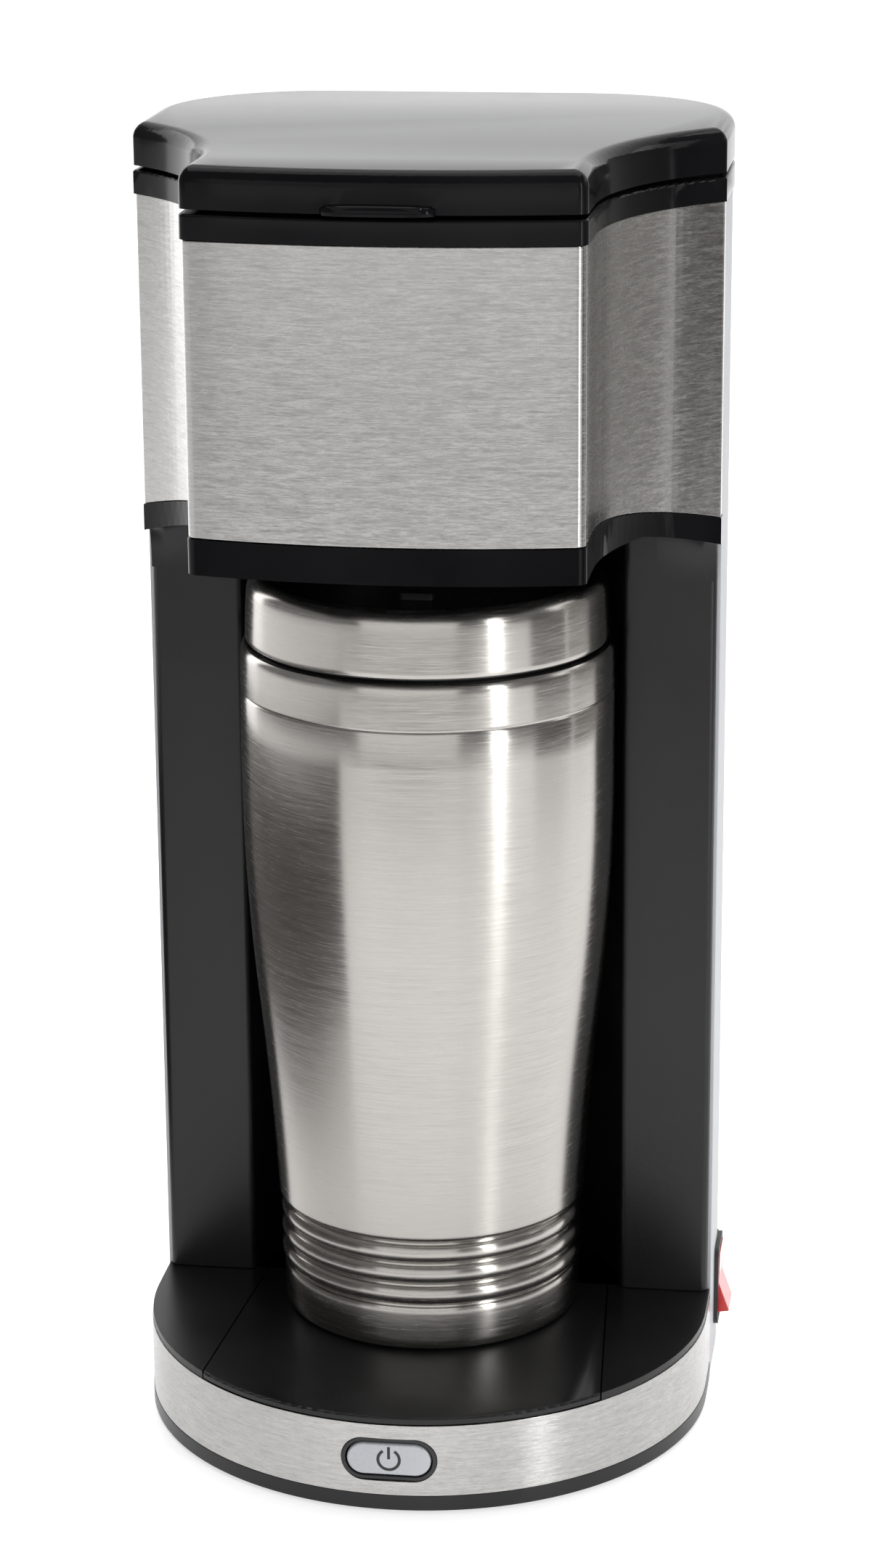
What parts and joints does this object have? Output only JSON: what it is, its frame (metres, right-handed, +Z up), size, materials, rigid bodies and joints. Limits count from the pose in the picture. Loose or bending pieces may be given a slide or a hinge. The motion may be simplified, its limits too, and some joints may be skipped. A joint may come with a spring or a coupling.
{
  "type": "drip coffee maker",
  "caption": "Slim single-cup drip coffee maker with bowed steel head, flip lid, round base with drip tray and a tall steel travel mug standing in its recess.",
  "frame": {"origin": "on the table under the middle of the mug, which is within 2 mm of the middle of the whole machine", "axes": "+Z up, -Y towards the user (front), +X to the machine's right side as seen from the front"},
  "size_m": [0.135, 0.1365, 0.2983],
  "materials": {
    "black_satin": "satin",
    "black_gloss": "gloss",
    "brushed_panel": "brushed",
    "silver_plastic": "satin",
    "button_silver": "satin",
    "dark_plastic": "matte",
    "red_plastic": "gloss",
    "steel_mug": "brushed",
    "mug_plastic": "satin",
    "rubber": "matte",
    "tank_plastic": "translucent",
    "silicone": "matte",
    "filter_gold": "satin",
    "heater_metal": "cast",
    "screw_steel": "polished",
    "board_green": "matte",
    "fuse_ceramic": "matte"
  },
  "bodies": {
    "machine": {"base_shell": "black_satin", "base_band": "brushed_panel", "bottom_cover": "black_satin", "rubber_feet": "rubber", "bottom_screws": "screw_steel", "button_bezel": "dark_plastic", "button_switch": "dark_plastic", "control_board": "board_green", "tower_front": "black_satin", "rear_cover": "silver_plastic", "cord_gland": "dark_plastic", "rocker_bezel": "dark_plastic", "rocker_housing": "dark_plastic", "head_rim": "black_gloss", "front_panel": "brushed_panel", "side_panel_left": "brushed_panel", "side_panel_right": "brushed_panel", "head_frame": "dark_plastic", "top_deck": "dark_plastic", "collar": "black_gloss", "hinge_block": "black_gloss", "hinge_pin": "screw_steel", "basket_well": "dark_plastic", "brew_funnel": "dark_plastic", "brew_spout": "dark_plastic", "filter_basket": "dark_plastic", "filter_cup": "filter_gold", "water_tank": "tank_plastic", "tank_outlet": "tank_plastic", "valve_ball": "screw_steel", "feed_hose": "silicone", "riser_hose": "silicone", "spray_spout": "dark_plastic", "heater": "heater_metal", "heater_saddles": "heater_metal", "thermostat": "heater_metal", "thermal_fuse": "fuse_ceramic"},
    "lid": {"lid": "black_gloss", "lid_liner": "dark_plastic"},
    "tray": {"drip_tray": "black_satin"},
    "mug": {"mug_body": "steel_mug", "mug_liner": "steel_mug"},
    "mug_lid": {"mug_lid_skirt": "steel_mug", "mug_lid_plug": "mug_plastic", "mug_gasket": "rubber"},
    "slider": {"sip_slider": "mug_plastic"},
    "button": {"power_button": "button_silver"},
    "rocker": {"rocker": "red_plastic"}
  },
  "joints": [
    {"name": "lid_hinge", "type": "hinge", "parent": "machine", "child": "lid", "pos_m": [0, 0.0603, 0.29295], "axis": [-1, 0, 0], "range_deg": [0, 90]},
    {"name": "tray_slide", "type": "slide", "parent": "machine", "child": "tray", "axis": [0, -1, 0], "range_m": [0, 0.14]},
    {"name": "mug_slide", "type": "slide", "parent": "tray", "child": "mug", "axis": [0, -1, 0], "range_m": [0, 0.16]},
    {"name": "mug_lid_twist", "type": "hinge", "parent": "mug", "child": "mug_lid", "pos_m": [0, 0, 0.1834], "axis": [0, 0, 1], "range_deg": [0, 60]},
    {"name": "sip_slide", "type": "slide", "parent": "mug_lid", "child": "slider", "axis": [0, 1, 0], "range_m": [0, 0.012]},
    {"name": "power_press", "type": "slide", "parent": "machine", "child": "button", "axis": [0, 1, 0], "range_m": [0, 0.0012], "stiffness_N_per_m": 500, "springref_m": -0.001},
    {"name": "rocker_tilt", "type": "hinge", "parent": "machine", "child": "rocker", "pos_m": [0.0628, 0.028, 0.018], "axis": [0, 1, 0], "range_deg": [0, 18]}
  ]
}
